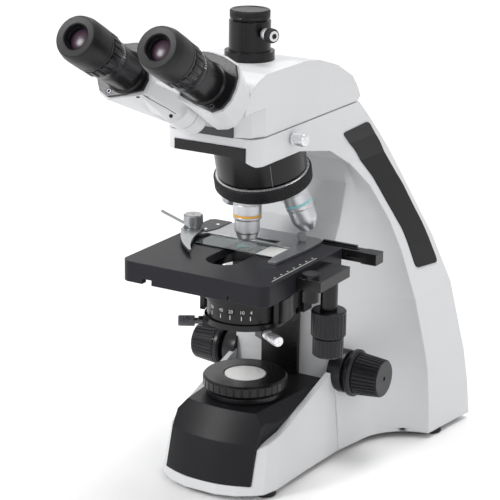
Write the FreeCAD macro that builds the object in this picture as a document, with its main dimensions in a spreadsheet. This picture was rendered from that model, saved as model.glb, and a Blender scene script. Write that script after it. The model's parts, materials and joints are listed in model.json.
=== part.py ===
import FreeCAD, Part
import math
import os
import re
import Sketcher

# Trinocular upright microscope, modelled in millimetres.
# Origin: foot of the optical axis on the table. +Z up, +X the operator's right, -Y the operator's side.

V = FreeCAD.Vector
Rotation = FreeCAD.Rotation
Placement = FreeCAD.Placement
SIDE_VIEW = Rotation(V(1, 1, 1), 120)  # stands a (Y, Z) outline up, so that it is raised along X

DIMENSIONS = {
    # stand
    "foot_height": 5, "foot_radius": 9, "shell_wall": 6,
    "base_front": 60, "base_bulge": 73, "base_half_width": 54, "column_front": 64,
    "cover_top": 69, "cover_bottom": 13,
    "plate_thickness": 3, "nose_half_width": 43.4, "nose_front": 60, "nose_top": 306.5, "nose_bottom": 284,
    "rail_half_width": 18, "rail_front": 58, "rail_top": 172,
    # illuminator
    "field_ring_radius": 36, "field_ring_bottom": 74.5, "field_ring_top": 86.2, "field_lens_radius": 17.4,
    "barrel_radius": 27,
    # focus drive
    "focus_knob_y": 77, "focus_knob_height": 75, "coarse_radius": 20.8, "coarse_inner": 63, "coarse_width": 6.5,
    "fine_root_radius": 18.6, "fine_end_radius": 16.5, "fine_length": 24, "shaft_radius": 5, "running_gap": 0.06,
    # stage
    "stage_top": 196.5, "stage_left": 71, "stage_right": 66, "stage_front": 82, "stage_back": 44,
    "stage_skirt": 17.5, "stage_skin": 7, "rail_depth": 11,
    "slide_length": 76, "slide_width": 26, "slide_thickness": 1.1,
    "drive_x": 76, "drive_y": 5, "drive_tube_radius": 7.1, "upper_knob_radius": 14.6, "lower_knob_radius": 12.9,
    "upper_knob_top": 156, "upper_knob_bottom": 133.5, "lower_knob_bottom": 115.8,
    # condenser
    "condenser_bottom": 133.7, "condenser_top": 166, "condenser_radius": 35, "scale_radius": 33,
    "screw_height": 132.5, "scale_bottom": 140.5, "scale_top": 155.5, "fork_inner": 35.6, "fork_outer": 40,
    # nosepiece and objectives
    "turret_tilt": 15, "turret_circle": 27, "shoulder_height": 242.7, "turret_radius": 40.5, "turret_height": 9,
    # head
    "head_bottom": 307.5, "head_half_width": 43.4, "head_back": 113, "head_top": 357, "head_front": 62,
    "photo_radius": 17, "photo_flange_radius": 20.4, "photo_flange_top": 364.2, "photo_top": 388.5,
    "photo_screw_height": 380.5, "photo_cap_radius": 16.4, "photo_cap_bottom": 390.2, "photo_cap_top": 397.4,
    # binocular
    "eye_incline": 30, "eye_plane_y": 121.8, "eye_plane_height": 361.65, "eye_offset": 35.5, "pivot_drop": 15,
    "housing_length": 52.3, "barrel_hinge_radius": 13, "tube_radius": 15.8, "tube_length": 29.7,
    "eyepiece_radius": 16.8, "eyecup_radius": 18, "eyecup_face": 75.7, "flange_thickness": 2.6,
}

doc = FreeCAD.newDocument("Microscope")
dims = doc.addObject("Spreadsheet::Sheet", "Dims")
for row, (alias, number) in enumerate(DIMENSIONS.items(), 1):
    dims.set(f"A{row}", alias)
    dims.set(f"B{row}", str(number))
    dims.setAlias(f"B{row}", alias)
doc.recompute()

PIECES = []


# ---------------------------------------------------------------- helpers

def linked(text):
    """The expression with each dimension's name pointing at its cell."""
    return re.sub(r"[a-z_]+", lambda word: "Dims." + word[0] if word[0] in DIMENSIONS else word[0], str(text))


def value(text):
    """The number that an expression of dimension names gives."""
    return float(text) if isinstance(text, (int, float)) else float(dims.evalExpression(text))


def point(place):
    return V(*(value(part) for part in place))


def bind(thing, path, text):
    if isinstance(text, str):
        thing.setExpression(path, linked(text))
    else:
        setattr(thing, path, text)


def put(thing, at, turn=None):
    """Place an object, with the position bound to the sheet."""
    thing.Placement = Placement(point(at), turn or Rotation())
    for axis, part in zip("xyz", at):
        if isinstance(part, str):
            thing.setExpression(f".Placement.Base.{axis}", linked(part))
    return thing


def along(direction):
    return Rotation(V(0, 0, 1), V(*direction))


def cylinder(radius, height, at=(0, 0, 0), direction=(0, 0, 1)):
    thing = doc.addObject("Part::Cylinder", "Cylinder")
    bind(thing, "Radius", radius)
    bind(thing, "Height", height)
    return put(thing, at, along(direction))


def box(size, at=(0, 0, 0), turn=None):
    thing = doc.addObject("Part::Box", "Box")
    for name, part in zip(("Length", "Width", "Height"), size):
        bind(thing, name, part)
    return put(thing, at, turn)


def joined(*parts):
    thing = doc.addObject("Part::MultiFuse", "Fuse")
    thing.Shapes = list(parts)
    thing.Refine = True
    return thing


def less(base, *tools):
    thing = doc.addObject("Part::Cut", "Cut")
    thing.Base = base
    thing.Tool = tools[0] if len(tools) == 1 else joined(*tools)
    thing.Refine = True
    return thing


def overlap(*parts):
    thing = doc.addObject("Part::MultiCommon", "Common")
    thing.Shapes = list(parts)
    return thing


def coded(shape):
    """A shape that code makes, where no feature fits."""
    thing = doc.addObject("Part::Feature", "Coded")
    thing.Shape = shape
    return thing


def origin_item(body, role):
    return next(item for item in body.Origin.OriginFeatures if item.Role == role)


def sketch_on(body, plane):
    sketch = body.newObject("Sketcher::SketchObject", "Sketch")
    sketch.AttachmentSupport = (origin_item(body, plane), [""])
    sketch.MapMode = "FlatFace"
    return sketch


def outline(sketch, corners):
    """A closed polygon whose corners are fixed by dimensions bound to the sheet."""
    spots = [(value(u), value(v)) for u, v in corners]
    count = len(spots)
    for index, spot in enumerate(spots):
        sketch.addGeometry(Part.LineSegment(V(*spot, 0), V(*spots[(index + 1) % count], 0)), False)
    for index in range(count):
        sketch.addConstraint(Sketcher.Constraint("Coincident", index, 2, (index + 1) % count, 1))
    for index, corner in enumerate(corners):
        for kind, text, number in zip(("DistanceX", "DistanceY"), corner, spots[index]):
            place = sketch.addConstraint(Sketcher.Constraint(kind, -1, 1, index, 1, number))
            if isinstance(text, str):
                sketch.setExpression(f"Constraints[{place}]", linked(text))


def turned(profile, at=(0, 0, 0), turn=None):
    """A body of revolution: profile is (radius, height) corners about local Z."""
    body = doc.addObject("PartDesign::Body", "Turned")
    sketch = sketch_on(body, "XZ_Plane")
    outline(sketch, profile)
    spin = body.newObject("PartDesign::Revolution", "Spin")
    spin.Profile = sketch
    spin.ReferenceAxis = (sketch, ["V_Axis"])
    spin.Angle = 360
    body.Tip = spin
    return put(body, at, turn)


def padded(corners, height, at=(0, 0, 0), turn=None, plane="XY_Plane"):
    """A polygon raised by a height."""
    body = doc.addObject("PartDesign::Body", "Padded")
    sketch = sketch_on(body, plane)
    outline(sketch, corners)
    pad = body.newObject("PartDesign::Pad", "Pad")
    pad.Profile = sketch
    bind(pad, "Length", height)
    body.Tip = pad
    return put(body, at, turn)


def mirrored(corners):
    """A full outline from its right half, listed from front to back."""
    return list(corners) + [(-value(u) if not isinstance(u, str) else f"-({u})", v) for u, v in reversed(corners)]


def grooved(body, radius, groove, low, high, count):
    """Cut upright grooves all round a body of revolution and check that they cut."""
    doc.recompute()
    before = body.Shape.Volume
    sketch = sketch_on(body, "XY_Plane")
    sketch.AttachmentOffset = Placement(V(0, 0, value(low)), Rotation())
    sketch.addGeometry(Part.Circle(V(value(radius), 0, 0), V(0, 0, 1), groove), False)
    pocket = body.newObject("PartDesign::Pocket", "Groove")
    pocket.Profile = sketch
    pocket.Reversed = True
    bind(pocket, "Length", f"({high}) - ({low})")
    pattern = body.newObject("PartDesign::PolarPattern", "Grooves")
    pattern.Originals = [pocket]
    pattern.Axis = (origin_item(body, "Z_Axis"), [""])
    pattern.Angle = 360
    pattern.Occurrences = count
    body.Tip = pattern
    doc.recompute()
    assert body.Shape.Volume < before - 1, "grooves cut nothing"
    return body


def softened(base, radius, chosen):
    """Round the edges of base that chosen picks."""
    doc.recompute()
    edges = [(number, radius, radius) for number, edge in enumerate(base.Shape.Edges, 1) if chosen(edge)]
    assert edges, "no edge to round"
    thing = doc.addObject("Part::Fillet", "Fillet")
    thing.Base = base
    thing.Edges = edges
    doc.recompute()
    assert not thing.Shape.isNull() and thing.Shape.isValid(), "fillet failed"
    return thing


def ribbed(low_radius, high_radius, low, high, depth, count):
    """A tapering ring of upright ribs about local Z."""
    def ring(radius, height):
        spots = []
        for rib in range(count):
            for share, reach in ((0.0, 0), (0.42, 0), (0.54, depth), (0.88, depth)):
                angle = 2 * math.pi * (rib + share) / count
                spots.append(V((radius - reach) * math.cos(angle), (radius - reach) * math.sin(angle), height))
        return Part.makePolygon(spots + spots[:1])
    return Part.makeLoft([ring(value(low_radius), value(low)), ring(value(high_radius), value(high))], True, True)


def upright(edge):
    ends = edge.Vertexes
    return len(ends) == 2 and abs(ends[0].Point.x - ends[1].Point.x) < 1e-6 \
        and abs(ends[0].Point.y - ends[1].Point.y) < 1e-6


def piece(node, thing):
    thing.Label = node
    PIECES.append(thing)
    return thing


# ---------------------------------------------------------------- stand

# Right half of the stand's plan at rising heights:
# height, column corner, flare start, wing front corner, wing back corner, back at the middle
STAND_LEVELS = [
    (5, (58, 64), (64, 98), (108, 141), (117, 208), 214),
    (35, (56, 64), (62, 98), (107, 141), (114.5, 207), 213),
    (66, (53, 64), (59, 98), (105.5, 139), (110.5, 205), 211),
    (82, (49, 66), (56, 98), (104, 136), (108, 202), 208),
    (133, (46, 66), (52, 99), (97, 126), (99, 194), 200),
    (176, (42, 68), (48, 104), (81, 127), (82.5, 186), 192),
    (202, (40, 88), (45, 108), (70, 124), (71, 178.5), 184),
    (234, (36, 106), (42, 110), (56, 112), (58.5, 167), 172),
    (256, (33, 100), (39, 98), (47.5, 91), (51, 157), 162),
    (274, (31, 66), (36, 64), (44.5, 59), (47.5, 143), 147),
    (284, (30, 12), (35, 11), (43.4, 9), (46.5, 133), 137),
    (296, (30, 12), (35, 11), (43.4, 9), (45.5, 121), 125),
    (306.5, (30, 12), (35, 11), (43.4, 9), (44, 110), 113),
]

PANEL_SCREW_SPOTS = [(x, z) for x in (-44, 44) for z in (20, 92)]


def stand_plan(level, swell):
    """Closed plan of the stand at one height, its sides moved out by swell."""
    height, column, flare, wing, rear, back = level
    wing = (wing[0] + swell, wing[1])
    rear = (rear[0] + swell, rear[1] + swell)

    def spot(pair, side):
        return V(side * pair[0], pair[1], height)

    def hollow(side):
        bend = (flare[0] + 0.27 * (wing[0] - flare[0]), flare[1] + 0.6 * (wing[1] - flare[1]))
        ends = [spot(flare, side), spot(bend, side), spot(wing, side)]
        straight = abs(wing[1] - flare[1]) < 3
        return Part.LineSegment(ends[0], ends[2]) if straight else Part.Arc(*ends)

    def line(start, end):
        return Part.LineSegment(start, end)

    right = [line(spot(column, 1), spot(flare, 1)), hollow(1), line(spot(wing, 1), spot(rear, 1))]
    rear_arc = Part.Arc(spot(rear, 1), V(0, back + swell, height), spot(rear, -1))
    left = [line(spot(rear, -1), spot(wing, -1)), hollow(-1), line(spot(flare, -1), spot(column, -1))]
    front = line(spot(column, -1), spot(column, 1))
    return Part.Wire([curve.toShape() for curve in right + [rear_arc] + left + [front]])


def stand_solid(swell=0.0):
    return Part.makeLoft([stand_plan(level, swell) for level in STAND_LEVELS], True, True)


def floor_outline(inset):
    half = [(44 - inset, -42 + inset), (50 - inset, 0), (54 - inset, 64), (60 - inset, 99), (74 - inset, 125),
            (104 - inset, 145), (111 - inset, 204 - inset)]
    return mirrored([(-u, v) for u, v in reversed(half)])[::-1]


def build_stand():
    column = coded(stand_solid())
    nose = box(("2 * nose_half_width", "nose_front + 12", "nose_top - nose_bottom"),
               ("-nose_half_width", "-nose_front", "nose_bottom"))
    nose = softened(nose, 12, lambda edge: upright(edge) and edge.CenterOfMass.y < 0)
    # the nose's underside steps up at its front corners
    steps = [padded([(side * 33, 280), (side * 60, 280), (side * 60, 290.5 if side < 0 else 280.5),
                     (side * 40, 290.5 if side < 0 else 284), (side * 33, 290.5 if side < 0 else 287.6)], 26,
                    (0, -36, 0), Rotation(V(1, 0, 0), 90)) for side in (1, -1)]
    inset = box((66, 105, "299 - nose_bottom + 1"), (-33, "-nose_front - 1", "nose_bottom - 1"))
    inset = softened(inset, 5, lambda edge: upright(edge) and edge.CenterOfMass.y > 0)
    cone_room = overlap(in_turret(cylinder(38.9, 52, (0, 0, 11))), box((120, 102, 100), (-60, -61, 184)))
    socket = cylinder(21.3, 30, (0, 0, 290))
    lock_bore = cylinder(2.6, 40, (20, -5, 298), (1, 0, 0))
    bay = box((90, 110, 56), (-45, 78, 0))
    floor = padded(floor_outline(-0.3), 4.3, (0, 0, 4))
    rear_pocket = box((100, 40, 84), (-50, 200, 14))
    inlet_hole = box((92, 30, 40), (-46, 180, 20))
    shaft_bore = cylinder("shaft_radius + running_gap", 200, (-100, "focus_knob_y", "focus_knob_height"),
                          (1, 0, 0))
    rail_slot = box((26.2, 9, "rail_top - 69.8"), (-13.1, 59, 69.9))
    screw_holes = [cylinder(1.7, 12, (x, 192, z), (0, 1, 0)) for x, z in PANEL_SCREW_SPOTS]
    arm = less(joined(column, nose), inset, *steps, cone_room, socket, lock_bore, bay, floor, rear_pocket,
               inlet_hole, shaft_bore, rail_slot, *screw_holes)
    return piece("arm", arm)


def raked(low, high, bottom, top):
    """A hollow-free block between two plans, each given by its right half from front to back."""
    def ring(half, height):
        spots = [V(x, y, height) for x, y in half] + [V(-x, y, height) for x, y in reversed(half)]
        return Part.makePolygon(spots + spots[:1])
    return coded(Part.makeLoft([ring(low, bottom), ring(high, top)], True, True))


def build_base_shell():
    front, bulge, half = value("base_front"), value("base_bulge"), value("base_half_width")
    block = raked([(15, 1 - bulge), (31, 6 - bulge), (43, 1 - front), (50, -52), (half, -37), (55, 10),
                   (57.8, 63.9)],
                  [(15, -50), (30, -46), (38.5, -39), (44.5, -30), (48.5, -15), (50, 25), (50.5, 63.9)],
                  value("foot_height"), 85)
    # the rim climbs towards the column
    climb = padded([(-90, 29), (64, 79.5), (64, 150), (-90, 150)], 140, (-70, 0, 0), SIDE_VIEW)
    cavity = raked([(1, -66), (38, -54), (47, -34), (49, 10), (50.5, 65)],
                   [(1, -42), (34.5, -31), (42, -11), (45, 25), (45.5, 65)], 4, 94)
    front_gap = padded(mirrored([(0, -90), (41.3, -90), (41.3, -40)])[1:], 90, (0, 0, "cover_bottom"))
    dial_bore = cylinder(4, 30, (-70, 10, 36), (1, 0, 0))
    floor = padded(floor_outline(-0.3), 4.3, (0, 0, 4))
    return piece("base_shell", less(block, climb, cavity, front_gap, dial_bore, floor))


def cover_solid(margin):
    """The bulged, sloping front of the cover; margin thickens it inwards."""
    def ring(height, half, front, bulge, back):
        half, front, bulge = half - margin, front + margin, bulge + margin
        arc = Part.Arc(V(-half, front, height), V(0, bulge, height), V(half, front, height))
        sides = [V(x, y, height) for x, y in ((half, front), (half, back), (-half, back), (-half, front))]
        lines = [Part.LineSegment(a, b) for a, b in zip(sides, sides[1:])]
        return Part.Wire([arc.toShape()] + [line.toShape() for line in lines])

    low, top = value("cover_bottom"), value("cover_top")
    levels = [ring(low, 41, -59.6, -69.5, 63.8), ring(46, 41, -50, -58, 63.8),
              ring(top - margin, 41, -35.5, -42.5, 63.8)]
    return coded(Part.makeLoft(levels, True, True))


def flank(side, margin):
    """What the bevel takes off one side of the cover: steep at the front, nearly flat at the column."""
    top = value("cover_top")

    def ring(y, edge, low):
        spots = [(edge, top), (48, low), (60, low), (60, 120), (edge, 120)]
        spots = [V(side * (x - margin), y, z - margin) for x, z in spots]
        return Part.makePolygon(spots + spots[:1])
    return coded(Part.makeLoft([ring(-70, 30.5, 46), ring(64, 41.5, 68.9)], True, True))


def build_base_cover(shell):
    deck = raked([(40, -50), (46, -26), (47.6, 17), (48.6, 63.8)], [(38, -38), (44, -20), (46, 20), (47.4, 63.8)],
                 40, value("cover_top"))
    under = padded([(-90, 20), (64, 20), (64, 62), (-90, 33.6)], 140, (-70, 0, 0), SIDE_VIEW)
    inner = less(cover_solid(3), flank(1, 3), flank(-1, 3))
    opening = cylinder("barrel_radius + 0.3", 90, (0, 0, 10))
    outer = less(joined(cover_solid(0), less(deck, under)), flank(1, 0), flank(-1, 0))
    return piece("base_cover", less(outer, inner, opening, shell))


def build_underside():
    plate = padded(floor_outline(0), "plate_thickness", (0, 0, "foot_height"))
    piece("bottom_plate", plate)
    spots = [(0, 0), (-44.5, -39), (44.5, -39), (-102, 160), (102, 160)]
    foot = [turned([(0, 0), ("foot_radius - 1", 0), ("foot_radius", 1.5), ("foot_radius", "foot_height"),
                    (0, "foot_height")], (x, y, 0)) for x, y in spots]
    return piece("feet", joined(*foot))


def build_rear():
    panel = box((99.4, 3, 83.4), (-49.7, 200.3, 14.3))
    inlet_cut = box((28, 8, 20), (-34, 197, 30))
    switch_cut = box((21.4, 8, 15.4), (10.3, 197, 32.3))
    screw_holes = [cylinder(1.7, 10, (x, 196, z), (0, 1, 0)) for x, z in PANEL_SCREW_SPOTS]
    piece("rear_panel", less(panel, inlet_cut, switch_cut, *screw_holes))
    shroud = less(joined(box((27.6, 17, 19.6), (-33.8, 187, 30.2)), box((32, 2, 24), (-36, 203.4, 28))),
                  box((22, 20, 14), (-31, 190, 33)))
    pins = [box((2, 12, 4), (x, 188, z)) for x, z in ((-27.5, 36), (-15.5, 36), (-21.5, 40))]
    piece("power_inlet", joined(shroud, *pins))
    screws = [joined(cylinder(1.6, 7, (x, 197, z), (0, 1, 0)), cylinder(3, 1.6, (x, 203.4, z), (0, 1, 0)))
              for x, z in PANEL_SCREW_SPOTS]
    piece("panel_screws", joined(*screws))
    paddle = padded([(203, 33.6), (206.3, 33.6), (204.6, 40), (206.3, 46.4), (203, 46.4)], 20,
                    (11, 0, 0), SIDE_VIEW)
    pivot = cylinder(2, 21, (10.5, 201.5, 40), (1, 0, 0))
    return piece("power_switch", joined(box((20, 7, 13.6), (11, 197, 33.2)), paddle, pivot))


def rounded_corners(corners, radius, steps=4):
    """The same outline with each corner drawn as a short curve."""
    spots = []
    for index, corner in enumerate(corners):
        here = V(*corner, 0)
        before, after = V(*corners[index - 1], 0), V(*corners[(index + 1) % len(corners)], 0)
        start = here + (before - here).normalize() * radius
        end = here + (after - here).normalize() * radius
        for step in range(steps + 1):
            share = step / steps
            spot = start * (1 - share) ** 2 + here * (2 * share * (1 - share)) + end * share ** 2
            spots.append((spot.x, spot.y))
    return spots


def build_grips():
    swollen = stand_solid(0.9)
    side_view = rounded_corners([(79, 285), (124, 287), (141, 267), (163, 226), (175, 190), (181, 153),
                                 (142, 157), (140, 190), (121, 238), (100, 266)], 5)
    plan = Part.makePolygon([V(0, y, z) for y, z in side_view + side_view[:1]])
    sides = [coded(Part.Face(plan).extrude(V(side * 120, 0, 0))) for side in (1, -1)]
    pads = [less(overlap(coded(swollen), side), coded(stand_solid())) for side in sides]
    return piece("hand_grips", joined(*pads))


def build_guide_rail():
    head = box(("2 * rail_half_width", 4, "rail_top - 70"), ("-rail_half_width", "rail_front", 70))
    neck = box((26, 5.7, "rail_top - 70"), (-13, "rail_front + 4", 70))
    return piece("guide_rail", joined(head, neck))


# ---------------------------------------------------------------- illuminator

def build_illuminator():
    piece("led_module", turned([(0, 8), (22, 8), (22, 11), (16, 11), (16, 24), (5, 24), (5, 26), (0, 28)]))
    piece("lamp_barrel", turned([(23, 8), ("barrel_radius", 8), ("barrel_radius", "cover_top + 1"),
                                 (33, "cover_top + 1"), (33, "field_ring_bottom - 0.3"),
                                 (26, "field_ring_bottom - 0.3"), (26, 81.8), ("field_lens_radius + 0.2", 81.8),
                                 ("field_lens_radius + 0.2", 78.8), (16, 78.8), (16, 74), (23, 74)]))
    lens = turned([(0, 79), ("field_lens_radius", 79), ("field_lens_radius", 86), (10, 87.6), (0, 88)])
    piece("field_lens", lens)
    ring = turned([(26.1, "field_ring_bottom"), ("field_ring_radius - 2.5", "field_ring_bottom"),
                   ("field_ring_radius", "field_ring_bottom + 3"), ("field_ring_radius", "field_ring_top - 1.6"),
                   ("field_ring_radius - 1.6", "field_ring_top"), (18.6, "field_ring_top"),
                   (17.9, "field_ring_top - 0.7"), (17.9, "field_ring_top - 4"), (26.1, "field_ring_top - 4")])
    return piece("field_ring", grooved(ring, "field_ring_radius", 0.9, "field_ring_bottom + 3.2",
                                       "field_ring_top - 1.4", 34))


# ---------------------------------------------------------------- focus drive and controls

def sideways(side):
    """Turn local Z to the operator's right or left."""
    return Rotation(V(0, 1, 0), 90 * side)


def build_focus_knobs():
    for node, side in (("right", 1), ("left", -1)):
        at = (f"{side} * coarse_inner", "focus_knob_y", "focus_knob_height")
        disc = turned([(3.2, -2.5), (13, -2.5), (13, 0), (19, 0), ("coarse_radius", 1.6),
                       ("coarse_radius", "coarse_width - 2"), ("coarse_radius - 2", "coarse_width"),
                       (3.2, "coarse_width")], at, sideways(side))
        sleeve = turned([(3.2, -62.9), (5, -62.9), (5, 0.5), (3.2, 0.5)], at, sideways(side))
        piece(f"coarse_knob_{node}", joined(disc, sleeve))
        place = (f"{side} * (coarse_inner + coarse_width)", "focus_knob_y", "focus_knob_height")
        core = turned([(0, 0.4), ("fine_root_radius - 1", 0.4), ("fine_root_radius - 1", 2),
                       ("fine_end_radius - 1", 2), ("fine_end_radius - 1", "fine_length"),
                       (2, "fine_length"), (2, "fine_length - 2.5"),
                       (0, "fine_length - 2.5")], place, sideways(side))
        ribs = coded(ribbed("fine_root_radius", "fine_end_radius", 1.2, "fine_length - 1", 1.0, 32))
        fine = joined(core, put(ribs, place, sideways(side)))
        spindle = turned([(0, -69.4), (3.14, -69.4), (3.14, 1), (0, 1)], place, sideways(side))
        piece(f"fine_knob_{node}", joined(fine, spindle))


def build_controls():
    dial = turned([(0, 0), (10, 0), (11, 1), (11, 6), (10, 7), (0, 7)], (-56, 10, 36), sideways(-1))
    dial = grooved(dial, 11, 0.7, 0.8, 6.4, 30)
    pin = cylinder(3.9, 12, (-46, 10, 36), (-1, 0, 0))
    piece("brightness_dial", joined(dial, pin))
    knob = turned([(0, 0), (2.5, 0), (2.5, 21), (5.2, 21), (5.6, 22), (5.6, 32), (4.8, 33), (2, 33),
                   (2, 30), (0, 30)], (23.6, -5, 298), sideways(1))
    return piece("head_lock_screw", grooved(knob, 5.6, 0.35, 21.8, 32.2, 28))


# ---------------------------------------------------------------- nosepiece

def turret_centre():
    tilt = math.radians(value("turret_tilt"))
    circle = value("turret_circle")
    return V(0, circle * math.cos(tilt), value("shoulder_height") + circle * math.sin(tilt))


def turret_frame():
    return Placement(turret_centre(), Rotation(V(1, 0, 0), value("turret_tilt")))


def in_turret(thing):
    thing.Placement = turret_frame().multiply(thing.Placement)
    return thing


def build_nosepiece():
    strip = padded([(-32.7, 290.5), (25, 290.5), (32.7, 287.6), (32.7, 298.8), (-32.7, 298.8)], 26,
                   (0, "-nose_front + 25.4", 0), Rotation(V(1, 0, 0), 90))
    block = box((65.4, 81.2, 15), (-32.7, -38, "298.8 - 15"))
    block = softened(block, 5, lambda edge: upright(edge) and edge.CenterOfMass.y > 0)
    cone_part = in_turret(turned([(0, "turret_height + 2.5"), (36, "turret_height + 2.5"),
                                  (38, "turret_height + 4"), (38.5, 62), (0, 62)]))
    room = joined(box((120, 76.5, 99.6), (-60, -36, 184)), box((64, 76.5, 8), (-32, -36, 283)))
    under = overlap(cone_part, room)
    screw_way = cylinder(2.9, 20, (15, -5, 298), (1, 0, 0))
    pin = in_turret(turned([(0, -4), (8, -4), (8, "turret_height + 3"), (0, "turret_height + 3")]))
    piece("nosepiece_mount", less(joined(block, strip, under, pin), screw_way))
    disc = turned([(8.05, 0), (14, -2), (37, -2), ("turret_radius", 1), ("turret_radius", "turret_height"),
                   ("turret_radius - 2", "turret_height + 1"), (8.05, "turret_height + 1")])
    disc = in_turret(disc)
    sockets = [in_turret_place(joined(cylinder(10.4, 14, (0, 0, "shoulder_height")),
                                      cylinder(12.3, 10.05, (0, 0, "shoulder_height - 10"))), quarter)
               for quarter in range(4)]
    return piece("turret", less(disc, *sockets))


def in_turret_place(thing, quarter):
    """Move a piece made on the optical axis round to another socket of the turret."""
    frame = turret_frame()
    swing = frame.multiply(Placement(V(), Rotation(V(0, 0, 1), 90 * quarter))).multiply(frame.inverse())
    thing.Placement = swing.multiply(thing.Placement)
    return thing


OBJECTIVE_THREAD = [(0, -3), (10, -3), (10, 0), (12, 0)]
OBJECTIVES = {
    # node: (socket, corners of radius and distance below the shoulder, after the thread's)
    "objective_10x": (0, [(12, 27), (10.5, 28), (10.5, 30), (8, 37), (0, 37)]),
    "objective_40x": (1, [(12, 30), (11, 32), (6.5, 40.6), (4.5, 42), (0, 42)]),
    "objective_100x": (2, [(12, 31), (11, 33), (6, 41), (3.5, 42.8), (0, 42.8)]),
    "objective_4x": (3, [(12, 18), (10.5, 19), (10.5, 24), (9, 25.5), (0, 25.5)]),
}


def build_objectives():
    for node, (quarter, profile) in OBJECTIVES.items():
        corners = [(radius, f"shoulder_height - ({drop})") for radius, drop in OBJECTIVE_THREAD + profile]
        barrel = turned(corners[::-1])
        piece(node, in_turret_place(barrel, quarter))


# ---------------------------------------------------------------- head

def eye_frame():
    """Local Z points along the eyepieces to the observer, local Y up across them."""
    tilt = Rotation(V(1, 0, 0), 90 - value("eye_incline"))
    return Placement(V(0, -value("eye_plane_y"), value("eye_plane_height")), tilt)


def in_eye(thing, x=0, y=0, z=0):
    thing.Placement = eye_frame().multiply(Placement(V(value(x), value(y), value(z)), Rotation()))
    return thing


def build_head():
    side = [(-66, "head_bottom"), ("head_back - 4", "head_bottom"), ("head_back", "head_bottom + 4"),
            (108, 320), (98, 331), (70, 345), (40, 354), (15, "head_top"), (-46, "head_top"), (-60, 353),
            (-73, 345), (-88, 322), (-80, 318), (-66, 314)]
    block = padded(side, "2 * head_half_width", ("-head_half_width", 0, 0), SIDE_VIEW)
    front = in_eye(box((200, 200, 200), (0, 0, 0)), -100, -100, "-housing_length + 0.5")
    corner = [(60, -63), (60, -120), (24.2, -120), (24.2, -63), (37, -59), (44, -46)]
    narrow = [padded([(side * x, y) for x, y in corner], 90, (0, 0, 290)) for side in (1, -1)]
    lower = [overlap(tool, box((140, 100, 40), (-70, -140, 290))) for tool in narrow]
    chamber = box((50, 90, 34), (-25, -40, 314))
    beam_bore = cylinder(12, 60, (0, 0, 300))
    plate_seat = [box((48.4, 3, 9.4), (-24.2, -66.2, "head_bottom - 0.2")),
                  box((15.9, 30, 19), (-24.2, -93.2, "head_bottom - 0.2")),
                  box((15.9, 30, 19), (8.3, -93.2, "head_bottom - 0.2"))]
    tail = cylinder(21.2, "head_bottom - 299.4", (0, 0, 299.4))
    tail = less(tail, cylinder(12, 20, (0, 0, 295)))
    pivot = in_eye(cylinder(5.94, "housing_length - 20.5", (0, 0, 0)), 0, "-pivot_drop", "-housing_length - 0.5")
    body = less(block, front, *lower, chamber, beam_bore, *plate_seat)
    piece("head_body", joined(body, tail, pivot))
    plate = box((48, 2.8, 18.6), (-24, -66, "head_bottom"))
    piece("head_plate", less(plate, box((16.8, 5, 12), (-8.4, -67, "head_bottom + 9"))))
    prism = padded([(-18, 314), (18, 314), (18, 342), (-4, 342)], 30, (-15, 0, 0), SIDE_VIEW)
    return piece("beam_prism", prism)


def build_phototube():
    tube = turned([(12, "head_top"), ("photo_flange_radius", "head_top"),
                   ("photo_flange_radius", "photo_flange_top"), ("photo_radius", "photo_flange_top"),
                   ("photo_radius", "photo_top"), (14, "photo_top"),
                   (14, "photo_top - 16"), (12, "photo_top - 16")])
    reach = (math.sin(math.radians(65)), -math.cos(math.radians(65)), 0)
    bore = cylinder(2.1, 40, (0, 0, "photo_screw_height"), reach)
    piece("phototube", less(tube, bore))
    cap = turned([(0, "photo_top - 12"), (13.8, "photo_top - 12"), (13.8, "photo_cap_bottom"),
                  ("photo_cap_radius", "photo_cap_bottom"), ("photo_cap_radius", "photo_cap_top - 1"),
                  ("photo_cap_radius - 1", "photo_cap_top"), (0, "photo_cap_top")])
    cap = grooved(cap, "photo_cap_radius", 0.5, "photo_cap_bottom + 0.1", "photo_cap_top - 0.2", 24)
    piece("phototube_cap", cap)
    stem = turned([(0, 0), (2, 0), (2, 4), (2.8, 4), (2.8, 13), (5.8, 13), (6, 14), (6, 18.5), (5.2, 19.5),
                   (0, 19.5)], (14.2 * reach[0], 14.2 * reach[1], "photo_screw_height"), along(reach))
    return piece("phototube_screw", stem)


# Binocular half, right side, in the eye frame: (across, up) corners from the top, clockwise
HOUSING_FRONT = [(24, 25.6), (34.5, 25.6), (45.5, 23.6), (57.5, 18.6), (61.6, 9.5), (62.1, 0), (60.2, -10.5),
                 (55.3, -18.4), (46.8, -22.8), (30.5, -18.6), (14, -13.8), (12.4, -3)]
HOUSING_REAR = [(17, 20), (28, 22), (35, 20), (41, 15), (44, 8), (44, 0), (42.5, -8), (39, -15), (33, -18.5),
                (24, -20), (12, -15), (9, 2)]

# Where the left half slopes back from its flange to the hinge
SADDLE_FRONT = [(22, 4), (26, -10), (22, -14.5), (17, -12), (15, -3)]
SADDLE_REAR = [(14, 2), (20, -22), (0, -27.6), (-11, -21), (-10, -7)]

# Each half's knuckles on the hinge: its own stretch of the hinge, then the other half's
KNUCKLES = {"right": ((-50.5, -35.3), (-34.9, -18.5)), "left": ((-34.9, -19.5), (-50.5, -35.3))}


def eye_loft(front, rear, side, low, high):
    def ring(corners, height):
        spots = [V(side * x, y, height) for x, y in corners]
        return Part.makePolygon(spots + spots[:1])
    return Part.makeLoft([ring(rear, low), ring(front, high)], True, True)


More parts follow.
